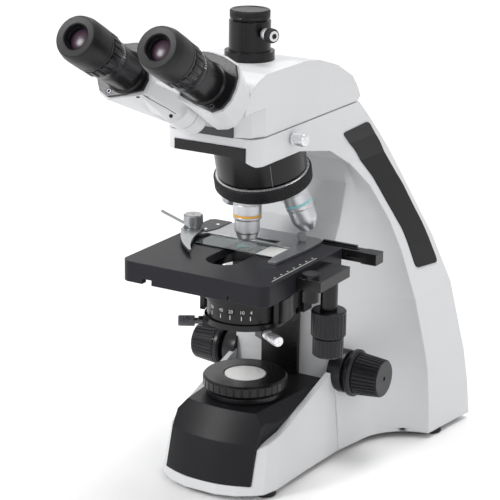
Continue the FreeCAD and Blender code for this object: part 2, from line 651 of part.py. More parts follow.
def build_housings():
    length = value("housing_length")
    drop = value("pivot_drop")
    for node, side in (("right", 1), ("left", -1)):
        barrel, other = KNUCKLES[node]
        body = in_eye(coded(eye_loft(HOUSING_FRONT, HOUSING_REAR, side, -length + 1.2, 0)))
        knuckle = in_eye(cylinder("barrel_hinge_radius", barrel[1] - barrel[0]), 0, -drop, barrel[0])
        web = in_eye(box((16, 12, barrel[1] - barrel[0])), 0 if side > 0 else -16, -drop, barrel[0])
        clear = in_eye(cylinder("barrel_hinge_radius + 0.6", other[1] - other[0] + 0.8), 0, -drop, other[0] - 0.4)
        bore = in_eye(cylinder("5.94 + running_gap", length - 18.8), 0, -drop, -length - 2)
        parts = [less(body, clear), knuckle, web]
        if side < 0:
            parts.append(in_eye(coded(eye_loft(SADDLE_FRONT, SADDLE_REAR, side, -20.5, -1))))
        body = less(joined(*parts), bore)
        channel = in_eye(cylinder(11, 40), side * value("eye_offset"), 0, -35)
        piece(f"housing_{node}", less(body, channel))


def plate_outline(side):
    corners = [(25, 24), (34, 24), (44.5, 22), (56, 17.5), (60, 9), (60.5, 0), (58.8, -9.5), (54.5, -17),
               (46.5, -21), (31, -17), (17, -12), (15, -3)]
    return [(side * x, y) for x, y in corners]


def build_eyepieces():
    for node, side in (("right", 1), ("left", -1)):
        x = side * value("eye_offset")
        thick = value("flange_thickness")
        flange = padded(plate_outline(side), "flange_thickness")
        flange = in_eye(flange, 0, 0, 0.3)
        tube = turned([(11.8, 0.3), ("tube_radius + 1.2", 0.3), ("tube_radius + 1.2", thick + 1),
                       ("tube_radius", thick + 2), ("tube_radius", "tube_length"), (11.8, "tube_length")])
        tube = in_eye(tube, x)
        bore = in_eye(cylinder(11.8, 40), x, 0, -5)
        screw_seat = in_eye(cylinder(2.4, 10), side * 46, -16.6, thick - 1.2)
        piece(f"eye_tube_{node}", less(joined(flange, tube), bore, screw_seat))
        barrel = turned([(0, 2), (11.74, 2), (11.74, "tube_length + 0.4"),
                         ("eyepiece_radius - 0.4", "tube_length + 0.4"),
                         ("eyepiece_radius - 0.4", "tube_length + 8"),
                         ("eyepiece_radius + 0.6", "tube_length + 9"),
                         ("eyepiece_radius + 0.6", "tube_length + 22"), (15, "tube_length + 23"),
                         (15, "eyecup_face - 8"), (11.5, "eyecup_face - 8"), (11.5, "eyecup_face - 12"),
                         (0, "eyecup_face - 12")])
        barrel = grooved(barrel, "eyepiece_radius + 1.4", 1.6, "tube_length + 10", "tube_length + 21", 18)
        piece(f"eyepiece_{node}", in_eye(barrel, x))
        cup = turned([(15, "tube_length + 23"), ("eyecup_radius - 0.6", "tube_length + 23"),
                      ("eyecup_radius", "tube_length + 26"), ("eyecup_radius", "eyecup_face - 5"),
                      ("eyecup_radius - 1", "eyecup_face - 1.4"),
                      ("eyecup_radius - 2.4", "eyecup_face"), (12, "eyecup_face"), (10.8, "eyecup_face - 1.5"),
                      (10.8, "eyecup_face - 7.8"), (15, "eyecup_face - 7.8")])
        piece(f"eyecup_{node}", in_eye(cup, x))
        lens = turned([(0, "eyecup_face - 11.8"), (10.6, "eyecup_face - 11.8"), (10.6, "eyecup_face - 10"),
                       (6, "eyecup_face - 8.8"), (0, "eyecup_face - 8.4")])
        piece(f"eye_lens_{node}", in_eye(lens, x))


# ---------------------------------------------------------------- stage

def build_stage():
    front_plate = box((56, 7.4, 47), (-28, 50.3, 131))
    jaws = [box((9.6, 6, 47), (x, 57.5, 131)) for x in (-28, 18.4)]
    lips = [box((13.6, 1.6, 47), (x, 62.4, 131)) for x in (-28, 14.4)]
    piece("focus_carrier", joined(front_plate, *jaws, *lips))
    lower = box((100, 78, 8.1), (-50, -32, 178.3))
    light_hole = cylinder(24, 40, (0, 0, 160))
    piece("stage_base", less(joined(lower, box((56, 26.3, 7), (-28, 24, 171.4))), light_hole))
    plate = box(("stage_left + stage_right", "stage_front + stage_back", "stage_skirt"),
                ("-stage_left", "-stage_front", "stage_top - stage_skirt"))
    plate = softened(plate, 8.5, lambda edge: upright(edge) and edge.CenterOfMass.y < 0)
    hollow = box((127, 122, "stage_skirt - stage_skin + 1"), (-66, -76, "stage_top - stage_skirt - 1"))
    slot_round = [cylinder(15, 40, (0, y, 170)) for y in (-36, 8)]
    slot = box((30, 44, 40), (-15, -36, 170))
    notch = box((9, 10, 5), (-50, -84, 178.5))
    small_notch = box((3, 10, 5), (30, -84, 178.5))
    piece("stage_top", less(plate, hollow, slot, notch, small_notch, *slot_round))
    rail = box((167.5, "rail_depth", 9.3), (-71, "stage_back + 0.05", 187))
    ridge = box((32, 3, 2), (43.5, 52, 196.2))
    track = box((148, 3.2, 6), (-68, 47, 191))
    rack_groove = box((14, 3, 3.4), (69, 43.5, 189.5))
    end_block = box((14, 13.4, 9.7), (84.5, 43, 186.6))
    piece("x_rail", less(joined(rail, ridge, end_block), track, rack_groove))
    boss = cylinder(7, 23.5, (75.8, -27, 172))
    tube = cylinder("drive_tube_radius", "184 - upper_knob_top - 0.4",
                    ("drive_x", "drive_y", "upper_knob_top + 0.4"))
    plate_part = box((22.4, 50, 9), (66.2, -34, 183))
    bore = cylinder(5.06, 60, ("drive_x", "drive_y", 130))
    piece("drive_housing", less(joined(plate_part, boss, tube), bore))


def build_drive_knobs():
    upper = turned([(3.26, "upper_knob_bottom"), ("upper_knob_radius - 1", "upper_knob_bottom"),
                    ("upper_knob_radius", "upper_knob_bottom + 1"), ("upper_knob_radius", "upper_knob_top - 1"),
                    ("upper_knob_radius - 1", "upper_knob_top"), (5, "upper_knob_top"), (5, 186), (3.26, 186)],
                   ("drive_x", "drive_y", 0))
    upper = grooved(upper, "upper_knob_radius + 0.5", 1.3, "upper_knob_bottom - 0.1", "upper_knob_top - 2", 24)
    piece("y_drive_knob", upper)
    lower = turned([(0, "lower_knob_bottom"), ("lower_knob_radius - 2", "lower_knob_bottom"),
                    ("lower_knob_radius", "lower_knob_bottom + 1.6"),
                    ("lower_knob_radius", "upper_knob_bottom - 1.4"),
                    ("lower_knob_radius - 1", "upper_knob_bottom - 0.5"), (3.2, "upper_knob_bottom - 0.5"),
                    (3.2, 188), (0, 188)],
                   ("drive_x", "drive_y", 0))
    lower = grooved(lower, "lower_knob_radius + 0.5", 1.2, "lower_knob_bottom - 0.1", "upper_knob_bottom - 2", 22)
    return piece("x_drive_knob", lower)


def build_slide_holder():
    low = 196.8
    plate = [(-22, 14.6), (33.8, 14.6), (33.8, -14), (36.4, -28.4), (43.6, -28), (47, 20), (46.6, 43), (44, 49),
             (39, 51.5), (-62, 51.5), (-66, 48), (-66, 30), (-73, 23), (-73.5, 13), (-68, 8), (-50, 8),
             (-46.5, 14.6)]
    holder = padded(plate, 2.3, (0, 0, low))
    slot = box((35, 7, 5), (-18, 19, low - 1))
    tongue = box((70, 2.6, 5.2), (-36, 47.3, low - 5.1))
    finger_pin = cylinder(2.4, 12, (-64, 18, low + 0.5))
    knob_pin = cylinder(1.6, 4, (32, 36, low + 1))
    piece("slide_holder", joined(less(holder, slot), tongue, finger_pin, knob_pin))
    knob = turned([(1.66, 0), (2.6, 0), (2.6, 1.6), (3.7, 1.6), (3.7, 6.6), (3.2, 7.2), (0, 7.2), (0, 3.4),
                   (1.66, 3.4)], (32, 36, low + 2.5))
    piece("holder_knob", grooved(knob, 3.7, 0.3, 1.8, 6.4, 20))
    slide = box(("slide_length", "slide_width", "slide_thickness"),
                ("-5 - slide_length / 2", -12, "stage_top + 0.05"))
    slip = box((22, 22, 0.16), (-16, -10, "stage_top + 0.05 + slide_thickness"))
    piece("specimen_slide", joined(slide, slip))
    tip, heel, root = V(-28.6, -41.5, 0), V(-30.4, -42.4, 0), V(-71.5, 16, 0)
    finger = Part.Wire([Part.Arc(tip, V(-43.6, -16, 0), V(-50, 6, 0)).toShape(),
                        Part.LineSegment(V(-50, 6, 0), V(-56, 21, 0)).toShape(),
                        Part.LineSegment(V(-56, 21, 0), root).toShape(),
                        Part.Arc(root, V(-58.5, -11, 0), heel).toShape(),
                        Part.LineSegment(heel, tip).toShape()])
    blade = put(coded(Part.Face(finger).extrude(V(0, 0, 2.2))), (0, 0, 199.6))
    cap = turned([(2.46, 199.6), (7.2, 199.6), (7.2, 203.6), (8.4, 203.6), (8.4, 211), (7.4, 212), (1, 212),
                  (1, 211.2), (0, 211.2), (0, 209.8), (2.46, 209.8)], (-64, 18, 0))
    rod = cylinder(1.3, 34, (-69, 14, 203.4), (-0.93, 0.34, 0.1))
    piece("slide_finger", less(joined(blade, cap, rod), cylinder(2.46, 10, (-64, 18, 199))))


# ---------------------------------------------------------------- condenser

SCREW_ANGLES = (math.radians(-31), math.radians(-149))


def build_condenser():
    ring = less(cylinder("fork_outer", 20, (0, 0, 140)), cylinder("fork_inner", 30, (0, 0, 135)),
                box((100, 100, 60), (-50, -112, 120)))
    bridge = less(box((50, 22, 20), (-25, 28, 140)), cylinder("fork_inner", 40, (0, 0, 130)))
    bracket = box((50, 13, 34), (-25, 37, 126))
    shaft_way = cylinder(3.06, 60, (-30, 44, 134), (1, 0, 0))
    piece("condenser_mount", less(joined(ring, bridge, bracket), shaft_way))
    body = turned([(0, "condenser_bottom"), (30, "condenser_bottom"),
                   ("condenser_radius", "condenser_bottom + 1.5"), ("condenser_radius", "scale_bottom - 0.3"),
                   (24, "scale_bottom - 0.3"), (24, "scale_top + 0.3"), ("condenser_radius", "scale_top + 0.3"),
                   ("condenser_radius", 163), (33, 164), (22, "condenser_top"), (12, "condenser_top"),
                   (12, 163), (0, 163)])
    bores, lugs = [], []
    for angle in SCREW_ANGLES:
        way = V(math.cos(angle), math.sin(angle), 0)
        bores.append(cylinder(2.36, 14, (26 * way.x, 26 * way.y, "screw_height"), way))
        lugs.append(box((11, 9.4, 8), (25 * way.x + 4.7 * way.y, 25 * way.y - 4.7 * way.x, 128.4),
                        Rotation(V(0, 0, 1), math.degrees(angle))))
    piece("condenser", less(joined(body, *lugs), *bores))
    scale = turned([(24.1, "scale_bottom"), ("scale_radius", "scale_bottom"), ("scale_radius", "scale_top"),
                    (24.1, "scale_top")])
    piece("iris_ring", scale)
    for node, angle in zip(("right", "left"), SCREW_ANGLES):
        way = (math.cos(angle), math.sin(angle), 0)
        screw = turned([(0, 0), (2.3, 0), (2.3, 9), (4.2, 9), (4.2, 13), (2.6, 13), (2.6, 16), (4.4, 16),
                        (4.6, 17), (4.6, 29), (4, 30), (0, 30)],
                       (27 * way[0], 27 * way[1], "screw_height"), along(way))
        piece(f"centring_screw_{node}", screw)
    knob = turned([(0, -38), (3, -38), (3, 0), (8.6, 0), (9.5, 1), (9.5, 12), (8.5, 13), (0, 13)], (-42, 44, 134),
                  sideways(-1))
    knob = grooved(knob, 9.5, 0.8, 0.6, 12.4, 24)
    return piece("condenser_knob", knob)


# ---------------------------------------------------------------- build, check and write

def build_all():
    build_stand()
    shell = build_base_shell()
    build_base_cover(shell)
    build_underside()
    build_rear()
    build_grips()
    build_guide_rail()
    build_illuminator()
    build_focus_knobs()
    build_controls()
    build_nosepiece()
    build_objectives()
    build_head()
    build_phototube()
    build_housings()
    build_eyepieces()
    build_stage()
    build_drive_knobs()
    build_slide_holder()
    build_condenser()


def check_all():
    doc.recompute()
    failed = [thing.Label for thing in doc.Objects if {"Invalid", "Error"} & set(thing.State)]
    assert not failed, f"failed objects: {failed}"
    for thing in PIECES:
        assert not thing.Shape.isNull() and thing.Shape.isValid(), f"bad shape: {thing.Label}"
        assert thing.Shape.Solids, f"no solid: {thing.Label}"


def write_all():
    os.makedirs("parts", exist_ok=True)
    for thing in PIECES:
        thing.Shape.exportStep(f"parts/{thing.Label}.step")
        room = thing.Shape.BoundBox
        print(f"{thing.Label:20s} {len(thing.Shape.Solids)} x[{room.XMin:.1f} {room.XMax:.1f}] "
              f"y[{room.YMin:.1f} {room.YMax:.1f}] z[{room.ZMin:.1f} {room.ZMax:.1f}]")
    print(len(PIECES), "nodes")


build_all()
check_all()
write_all()
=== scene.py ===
import bpy
import json
import math
from mathutils import Matrix, Vector

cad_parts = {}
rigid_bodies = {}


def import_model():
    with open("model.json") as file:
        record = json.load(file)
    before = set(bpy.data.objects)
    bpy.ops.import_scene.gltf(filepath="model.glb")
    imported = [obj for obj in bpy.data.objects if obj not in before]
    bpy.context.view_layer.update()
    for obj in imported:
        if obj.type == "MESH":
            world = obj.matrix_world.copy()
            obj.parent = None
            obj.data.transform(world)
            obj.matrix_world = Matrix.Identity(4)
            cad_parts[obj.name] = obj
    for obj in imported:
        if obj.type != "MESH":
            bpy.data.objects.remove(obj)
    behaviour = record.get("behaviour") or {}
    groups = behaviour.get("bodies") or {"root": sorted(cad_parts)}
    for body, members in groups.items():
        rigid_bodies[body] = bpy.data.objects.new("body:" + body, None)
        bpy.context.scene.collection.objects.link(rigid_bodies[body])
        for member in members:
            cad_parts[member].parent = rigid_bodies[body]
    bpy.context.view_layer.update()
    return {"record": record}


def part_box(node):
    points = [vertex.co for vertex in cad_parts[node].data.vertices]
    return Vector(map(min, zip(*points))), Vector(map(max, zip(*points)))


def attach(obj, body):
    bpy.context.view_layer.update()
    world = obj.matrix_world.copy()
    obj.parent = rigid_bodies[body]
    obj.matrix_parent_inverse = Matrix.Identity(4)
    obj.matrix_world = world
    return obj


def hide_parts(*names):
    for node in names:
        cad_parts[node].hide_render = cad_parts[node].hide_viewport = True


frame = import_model()


# ---------------------------------------------------------------- materials

class Graph:
    """A small builder for one material's node tree."""

    def __init__(self, name):
        self.material = bpy.data.materials.new(name)
        self.material.use_nodes = True
        self.nodes = self.material.node_tree.nodes
        self.links = self.material.node_tree.links
        self.shader = self.nodes["Principled BSDF"]
        self.place = self.add("ShaderNodeTexCoord").outputs["Object"]

    def add(self, kind, **settings):
        node = self.nodes.new(kind)
        for key, setting in settings.items():
            setattr(node, key, setting)
        return node

    def feed(self, node, **inputs):
        for key, source in inputs.items():
            socket = node.inputs[key.replace("_", " ")]
            if isinstance(source, bpy.types.NodeSocket):
                self.links.new(source, socket)
            else:
                socket.default_value = source
        return node

    def noise(self, scale, detail=3.0, stretch=(1, 1, 1), distortion=0.0):
        mapping = self.feed(self.add("ShaderNodeMapping"), Vector=self.place, Scale=stretch)
        noise = self.add("ShaderNodeTexNoise")
        self.feed(noise, Vector=mapping.outputs[0], Scale=scale, Detail=detail, Distortion=distortion)
        return noise.outputs["Fac"]

    def ramp(self, source, low, high):
        node = self.feed(self.add("ShaderNodeMapRange"), Value=source, To_Min=low, To_Max=high)
        node.inputs["From Min"].default_value = 0.3
        node.inputs["From Max"].default_value = 0.7
        return node.outputs[0]

    def mix(self, share, first, second):
        node = self.add("ShaderNodeMix", data_type="RGBA")
        for index, source in ((0, share), (6, first), (7, second)):
            if isinstance(source, bpy.types.NodeSocket):
                self.links.new(source, node.inputs[index])
            else:
                node.inputs[index].default_value = source
        return node.outputs[2]

    def edge(self, radius):
        """Rounded normal, and how near the surface is to an edge."""
        bevel = self.feed(self.add("ShaderNodeBevel", samples=4), Radius=radius)
        sharp = self.add("ShaderNodeNewGeometry").outputs["Normal"]
        dot = self.add("ShaderNodeVectorMath", operation="DOT_PRODUCT")
        self.links.new(bevel.outputs[0], dot.inputs[0])
        self.links.new(sharp, dot.inputs[1])
        near = self.add("ShaderNodeMapRange")
        self.feed(near, Value=dot.outputs["Value"], To_Min=1.0, To_Max=0.0)
        near.inputs["From Min"].default_value = 0.80
        near.inputs["From Max"].default_value = 0.995
        return bevel.outputs[0], near.outputs[0]


def rgb(colour):
    return (*colour, 1.0)


def shade(colour, factor):
    return rgb([min(1.0, part * factor) for part in colour])


def surface(name, colour, rough, metal=0.0, *, vary=0.06, spots=60, grain=900, bump=0.05, depth=0.0002,
            rough_vary=0.08, stretch=(1, 1, 1), radius=0.0006, edge_highlight=1.25, edge_highlight_share=0.5, coat=0.0,
            specular=0.5, sheen=0.0):
    """Opaque surface: mottled colour, grained roughness and bump, edges rounded and lightened as a painted
    highlight.
    """
    g = Graph(name)
    blotch = g.noise(spots, 4.0)
    fine = g.noise(grain, 2.0, stretch)
    body = g.mix(g.ramp(blotch, 0.0, 1.0), shade(colour, 1 - vary), shade(colour, 1 + vary))
    normal = None
    if radius:
        normal, near = g.edge(radius)
        # painted highlight: the colour is made lighter near edges, by the edge_highlight factor
        scaled = g.add("ShaderNodeMath", operation="MULTIPLY")
        g.links.new(near, scaled.inputs[0])
        scaled.inputs[1].default_value = edge_highlight_share
        body = g.mix(scaled.outputs[0], body, shade(colour, edge_highlight))
    g.links.new(body, g.shader.inputs["Base Color"])
    g.links.new(g.ramp(fine, rough - rough_vary, rough + rough_vary), g.shader.inputs["Roughness"])
    raised = g.feed(g.add("ShaderNodeBump"), Height=fine, Strength=bump, Distance=depth)
    if normal:
        g.links.new(normal, raised.inputs["Normal"])
    g.links.new(raised.outputs[0], g.shader.inputs["Normal"])
    g.feed(g.shader, Metallic=metal, Coat_Weight=coat, Specular_IOR_Level=specular, Sheen_Weight=sheen)
    if coat:
        g.feed(g.shader, Coat_Roughness=0.25)
    return g.material


def glass(name, colour, rough=0.02, transmission=1.0, coat=0.0, ior=1.45):
    g = Graph(name)
    film = g.noise(40, 2.0)
    g.links.new(g.mix(g.ramp(film, 0.0, 1.0), rgb(colour), shade(colour, 0.93)),
                g.shader.inputs["Base Color"])
    g.links.new(g.ramp(g.noise(300, 2.0), rough, rough + 0.02), g.shader.inputs["Roughness"])
    g.feed(g.shader, IOR=ior, Transmission_Weight=transmission, Coat_Weight=coat)
    return g.material


# edge_highlight lightens each finish at its edges as a painted highlight, strongest on the black finishes
MATERIALS = {
    "white_paint": surface("white_paint", (0.66, 0.665, 0.68), 0.40, vary=0.010, spots=14, grain=1400,
                           bump=0.08, depth=0.0001, rough_vary=0.05, radius=0.0016, edge_highlight=1.12, edge_highlight_share=0.5,
                           specular=0.4),
    "charcoal_plastic": surface("charcoal_plastic", (0.010, 0.010, 0.012), 0.42, grain=2600, bump=0.22,
                                depth=0.00012, radius=0.0009, edge_highlight=3.0, edge_highlight_share=0.5, specular=0.22),
    "grip_rubber": surface("grip_rubber", (0.007, 0.007, 0.008), 0.42, grain=3200, bump=0.40, depth=0.00015,
                           radius=0.0009, edge_highlight=3.0, specular=0.25),
    "black_metal": surface("black_metal", (0.006, 0.006, 0.007), 0.26, grain=2400, bump=0.08, depth=0.0001,
                           radius=0.0006, edge_highlight=7.0, edge_highlight_share=0.5, specular=0.34),
    "dark_grey_metal": surface("dark_grey_metal", (0.016, 0.016, 0.020), 0.40, grain=3000, bump=0.2,
                               depth=0.0001, radius=0.0010, edge_highlight=6.0, edge_highlight_share=0.6, specular=0.16),
    "black_plastic": surface("black_plastic", (0.008, 0.008, 0.010), 0.30, grain=2200, bump=0.12,
                             depth=0.0001, radius=0.0006, edge_highlight=7.0, edge_highlight_share=0.6, specular=0.36),
    "satin_chrome": surface("satin_chrome", (0.66, 0.665, 0.69), 0.36, 0.92, vary=0.012, grain=400, bump=0.02,
                            depth=0.0001, rough_vary=0.02, radius=0.0004, edge_highlight=1.3),
    "steel": surface("steel", (0.36, 0.37, 0.38), 0.34, 1.0, vary=0.05, grain=160, stretch=(1, 14, 1),
                     bump=0.08, depth=0.0001, rough_vary=0.07, radius=0.0005, edge_highlight=1.7, edge_highlight_share=0.7),
    "glass_clear": glass("glass_clear", (0.86, 0.95, 0.94)),
    "glass_coated": glass("glass_coated", (0.060, 0.032, 0.052), 0.22, 0.0, 0.0, 1.38),
    "glass_frosted": glass("glass_frosted", (0.98, 0.97, 0.96), 0.30, 0.0),
    "eyecup_rubber": surface("eyecup_rubber", (0.008, 0.008, 0.009), 0.40, grain=2600, bump=0.22,
                             depth=0.00012, radius=0.0007, edge_highlight=5.0, specular=0.30),
    "foot_rubber": surface("foot_rubber", (0.010, 0.010, 0.010), 0.6, grain=1500, bump=0.4, depth=0.0002,
                           specular=0.3),
    "steel_plate": surface("steel_plate", (0.055, 0.057, 0.062), 0.42, grain=1800, bump=0.15, specular=0.35),
}

for entry in frame["record"]["subparts"]:
    node = bpy.data.objects[entry["node"]]
    node.data.materials.clear()
    node.data.materials.append(MATERIALS[entry["material_slot"]])


# ---------------------------------------------------------------- places read from the record

JOINTS = {joint["name"]: joint for joint in frame["record"]["behaviour"]["joints"]}


def frame_at(origin, axis, hint):
    """Matrix whose Z is axis and whose X is as near as can be to hint."""
    z = Vector(axis).normalized()
    x = (Vector(hint) - z * z.dot(Vector(hint))).normalized()
    y = z.cross(x)
    matrix = Matrix((x, y, z)).transposed().to_4x4()
    matrix.translation = Vector(origin)
    return matrix


def joint_place(name, hint=(1, 0, 0), lift=0.0):
    joint = JOINTS[name]
    place = frame_at(joint["pos_m"], joint["axis"], hint)
    return place @ Matrix.Translation((0, 0, lift))


MM = 0.001
FULL = 2 * math.pi
OUT_FROM_SEAT = 30  # mm from the seat, where an eyepiece's heights start, out to its dioptre joint
FLANGE_SET_BACK = 9.7  # mm from that seat back to the eye tube's flange


# ---------------------------------------------------------------- mesh helpers

def add_piece(name, vertices, faces, body, slot, smooth=35.0, material=None):
    """A new piece riding on a body, finished as a slot."""
    mesh = bpy.data.meshes.new(name)
    mesh.from_pydata([tuple(v) for v in vertices], [], faces)
    mesh.validate()
    mesh.materials.append(material or MATERIALS[slot])
    if smooth:
        mesh.shade_smooth()
        mesh.set_sharp_from_angle(angle=math.radians(smooth))
    thing = bpy.data.objects.new(name, mesh)
    bpy.context.collection.objects.link(thing)
    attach(thing, body)
    return thing


def lathe(name, profile, place, body, slot, segments=96, ripple=None, closed=False, smooth=35.0,
          material=None):
    """Turn a (radius, height) profile in mm about local Z; ripple changes its radius round the turn."""
    vertices, faces = [], []
    for radius, height in profile:
        for step in range(segments):
            angle = FULL * step / segments
            reach = radius + (ripple(angle, height) if ripple and radius else 0.0)
            vertices.append(place @ (Vector((reach * math.cos(angle), reach * math.sin(angle), height)) * MM))
    rings = len(profile)
    for ring in range(rings if closed else rings - 1):
        low, high = ring * segments, (ring + 1) % rings * segments
        for step in range(segments):
            after = (step + 1) % segments
            faces.append((low + step, low + after, high + after, high + step))
    if not closed:
        faces.append(tuple(reversed(range(segments))))
        faces.append(tuple(range((rings - 1) * segments, rings * segments)))
    return add_piece(name, vertices, faces, body, slot, smooth, material)


def ribs(count, depth, low=-1e9, high=1e9, duty=0.5, twist=0.0):
    """Ripple with square-edged ribs between two heights."""
    def ripple(angle, height):
        phase = (angle * count / FULL + twist * height) % 1.0
        return -depth if low <= height <= high and phase > duty else 0.0
    return ripple


def prism(name, outline, low, high, place, body, slot, bevel=0.0, smooth=None, material=None):
    """Raise an (x, y) outline in millimetres between two heights."""
    count = len(outline)
    vertices = [place @ (Vector((x, y, z)) * MM) for z in (low, high) for x, y in outline]
    faces = [tuple(reversed(range(count))), tuple(range(count, 2 * count))]
    faces += [(k, (k + 1) % count, count + (k + 1) % count, count + k) for k in range(count)]
    thing = add_piece(name, vertices, faces, body, slot, smooth, material)
    if bevel:
        rounded(thing, bevel)
    return thing


def rounded(thing, width, segments=2, angle=30.0):
    modifier = thing.modifiers.new("Rounded", "BEVEL")
    modifier.width = width * MM
    modifier.segments = segments
    modifier.limit_method = "ANGLE"
    modifier.angle_limit = math.radians(angle)
    modifier.harden_normals = True
    return thing


def bar(size, middle):
    """Corners of an upright box, as an outline and two heights."""
    (length, width, height), (x, y, z) = size, middle
    outline = [(x - length / 2, y - width / 2), (x + length / 2, y - width / 2),
               (x + length / 2, y + width / 2), (x - length / 2, y + width / 2)]
    return outline, z - height / 2, z + height / 2


def merged(name, boxes, place, body, slot, material=None):
    """Many small bars in one piece, such as the marks of a scale."""
    vertices, faces = [], []
    for outline, low, high in boxes:
        start = len(vertices)
        vertices += [place @ (Vector((x, y, z)) * MM) for z in (low, high) for x, y in outline]
        faces.append(tuple(start + k for k in (3, 2, 1, 0)))
        faces.append(tuple(start + k for k in (4, 5, 6, 7)))
        faces += [tuple(start + k for k in (a, (a + 1) % 4, 4 + (a + 1) % 4, 4 + a)) for a in range(4)]
    return add_piece(name, vertices, faces, body, slot, None, material)


def wrapped(name, marks, radius, proud, place, body, slot, material):
    """Flat marks (angle in degrees, height, width, tall) laid round a cylinder, slightly proud of it."""
    vertices, faces = [], []
    for degrees, height, width, tall in marks:
        start = len(vertices)
        middle = math.radians(degrees)
        half = width / 2 / radius
        for reach in (radius - 0.2, radius + proud):
            for turn, rise in ((-half, -tall / 2), (half, -tall / 2), (half, tall / 2), (-half, tall / 2)):
                angle = middle + turn
                spot = Vector((reach * math.cos(angle), reach * math.sin(angle), height + rise))
                vertices.append(place @ (spot * MM))
        faces.append(tuple(start + k for k in (3, 2, 1, 0)))
        faces.append(tuple(start + k for k in (4, 5, 6, 7)))
        faces += [tuple(start + k for k in (a, (a + 1) % 4, 4 + (a + 1) % 4, 4 + a)) for a in range(4)]
    return add_piece(name, vertices, faces, body, slot, None, material)


def ribbon(name, spots, width, away, place, body, slot, material):
    """A thin raised line along a chain of spots, on a surface that faces away."""
    spots, away = [Vector(spot) for spot in spots], Vector(away).normalized()
    vertices, faces = [], [(0, 1, 3, 2)]
    for index, spot in enumerate(spots):
        along = spots[min(index + 1, len(spots) - 1)] - spots[max(index - 1, 0)]
        side = along.cross(away).normalized() * (width / 2)
        vertices += [place @ ((spot + side * sign + away * rise) * MM) for rise in (-0.3, 0.12)
                     for sign in (-1, 1)]
    for index in range(len(spots) - 1):
        a, b = 4 * index, 4 * index + 4
        faces += [(a, b, b + 1, a + 1), (a + 2, a + 3, b + 3, b + 2), (a, a + 2, b + 2, b),
                  (a + 1, b + 1, b + 3, a + 3)]
    last = 4 * len(spots) - 4
    faces.append((last, last + 2, last + 3, last + 1))
    return add_piece(name, vertices, faces, body, slot, None, material)


# ---------------------------------------------------------------- nosepiece and objectives

PAINTS = {
    "orange": surface("ring_orange", (0.85, 0.42, 0.03), 0.35, vary=0.03, radius=0),
    "blue": surface("ring_blue", (0.25, 0.62, 0.66), 0.35, vary=0.03, radius=0),
    "red": surface("ring_red", (0.62, 0.05, 0.04), 0.35, vary=0.03, radius=0),
    "white": surface("ring_white", (0.82, 0.82, 0.80), 0.4, vary=0.02, radius=0),
    "mark": surface("mark_white", (0.78, 0.78, 0.76), 0.5, vary=0.02, radius=0),
    "seam": surface("seam_shadow", (0.012, 0.012, 0.013), 0.7, vary=0.02, radius=0),
    "line": surface("upright_light_line", (0.22, 0.22, 0.23), 0.4, vary=0.02, radius=0),
    # edge_highlight paints highlights on edges here too: strongest, sixteen-fold, on the turret's rib edges
    "dark_chrome": surface("dark_chrome", (0.10, 0.10, 0.11), 0.24, 0.9, vary=0.03, radius=0.0004, edge_highlight=5.0),
    "bright": surface("bright_edge", (0.80, 0.80, 0.82), 0.25, 0.7, vary=0.02, radius=0),
    "rib": surface("turret_rubber", (0.007, 0.007, 0.008), 0.40, grain=3200, bump=0.3, depth=0.00015,
                   radius=0.0005, edge_highlight=16.0, edge_highlight_share=0.6, specular=0.30),
    "hole": surface("hole_shadow", (0.008, 0.008, 0.008), 0.8, vary=0.02, radius=0),
}
TURRET = frame_at(JOINTS["nosepiece_turn"]["pos_m"], -Vector(JOINTS["nosepiece_turn"]["axis"]), (1, 0, 0))


def socket(quarter):
    """Frame of an objective: origin on the optical axis at the table, swung round the turret."""
    return TURRET @ Matrix.Rotation(math.radians(90 * quarter), 4, "Z") @ TURRET.inverted()


def turret_grip():
    """Slanted fine ribs round the turret, with a bright turned edge above them."""
    band = [(41.2, 0.4 + 8.8 * step / 14) for step in range(15)]
    profile = [(37.5, -2.1), (40.0, -1.2)] + band + [(40.3, 10.2), (37.5, 10.4)]
    lathe("turret_grip", profile, TURRET, "nosepiece", "grip_rubber", 720,
          ribs(110, 0.9, 0.3, 9.3, 0.55, 0.22), closed=True, smooth=20, material=PAINTS["rib"])
    lathe("turret_bright_edge", [(39.3, 10.1), (39.3, 10.7), (38.5, 11.2), (37.4, 11.2), (37.4, 10.1)],
          TURRET, "nosepiece", "satin_chrome", 160, closed=True, material=PAINTS["bright"])


def mount_light_line():
    """A thin light upright line on the nosepiece mount."""
    wrapped("mount_light_line", [(-47, 22, 0.35, 19)], 38.25, 0.08, TURRET, "stand", "black_metal", PAINTS["line"])


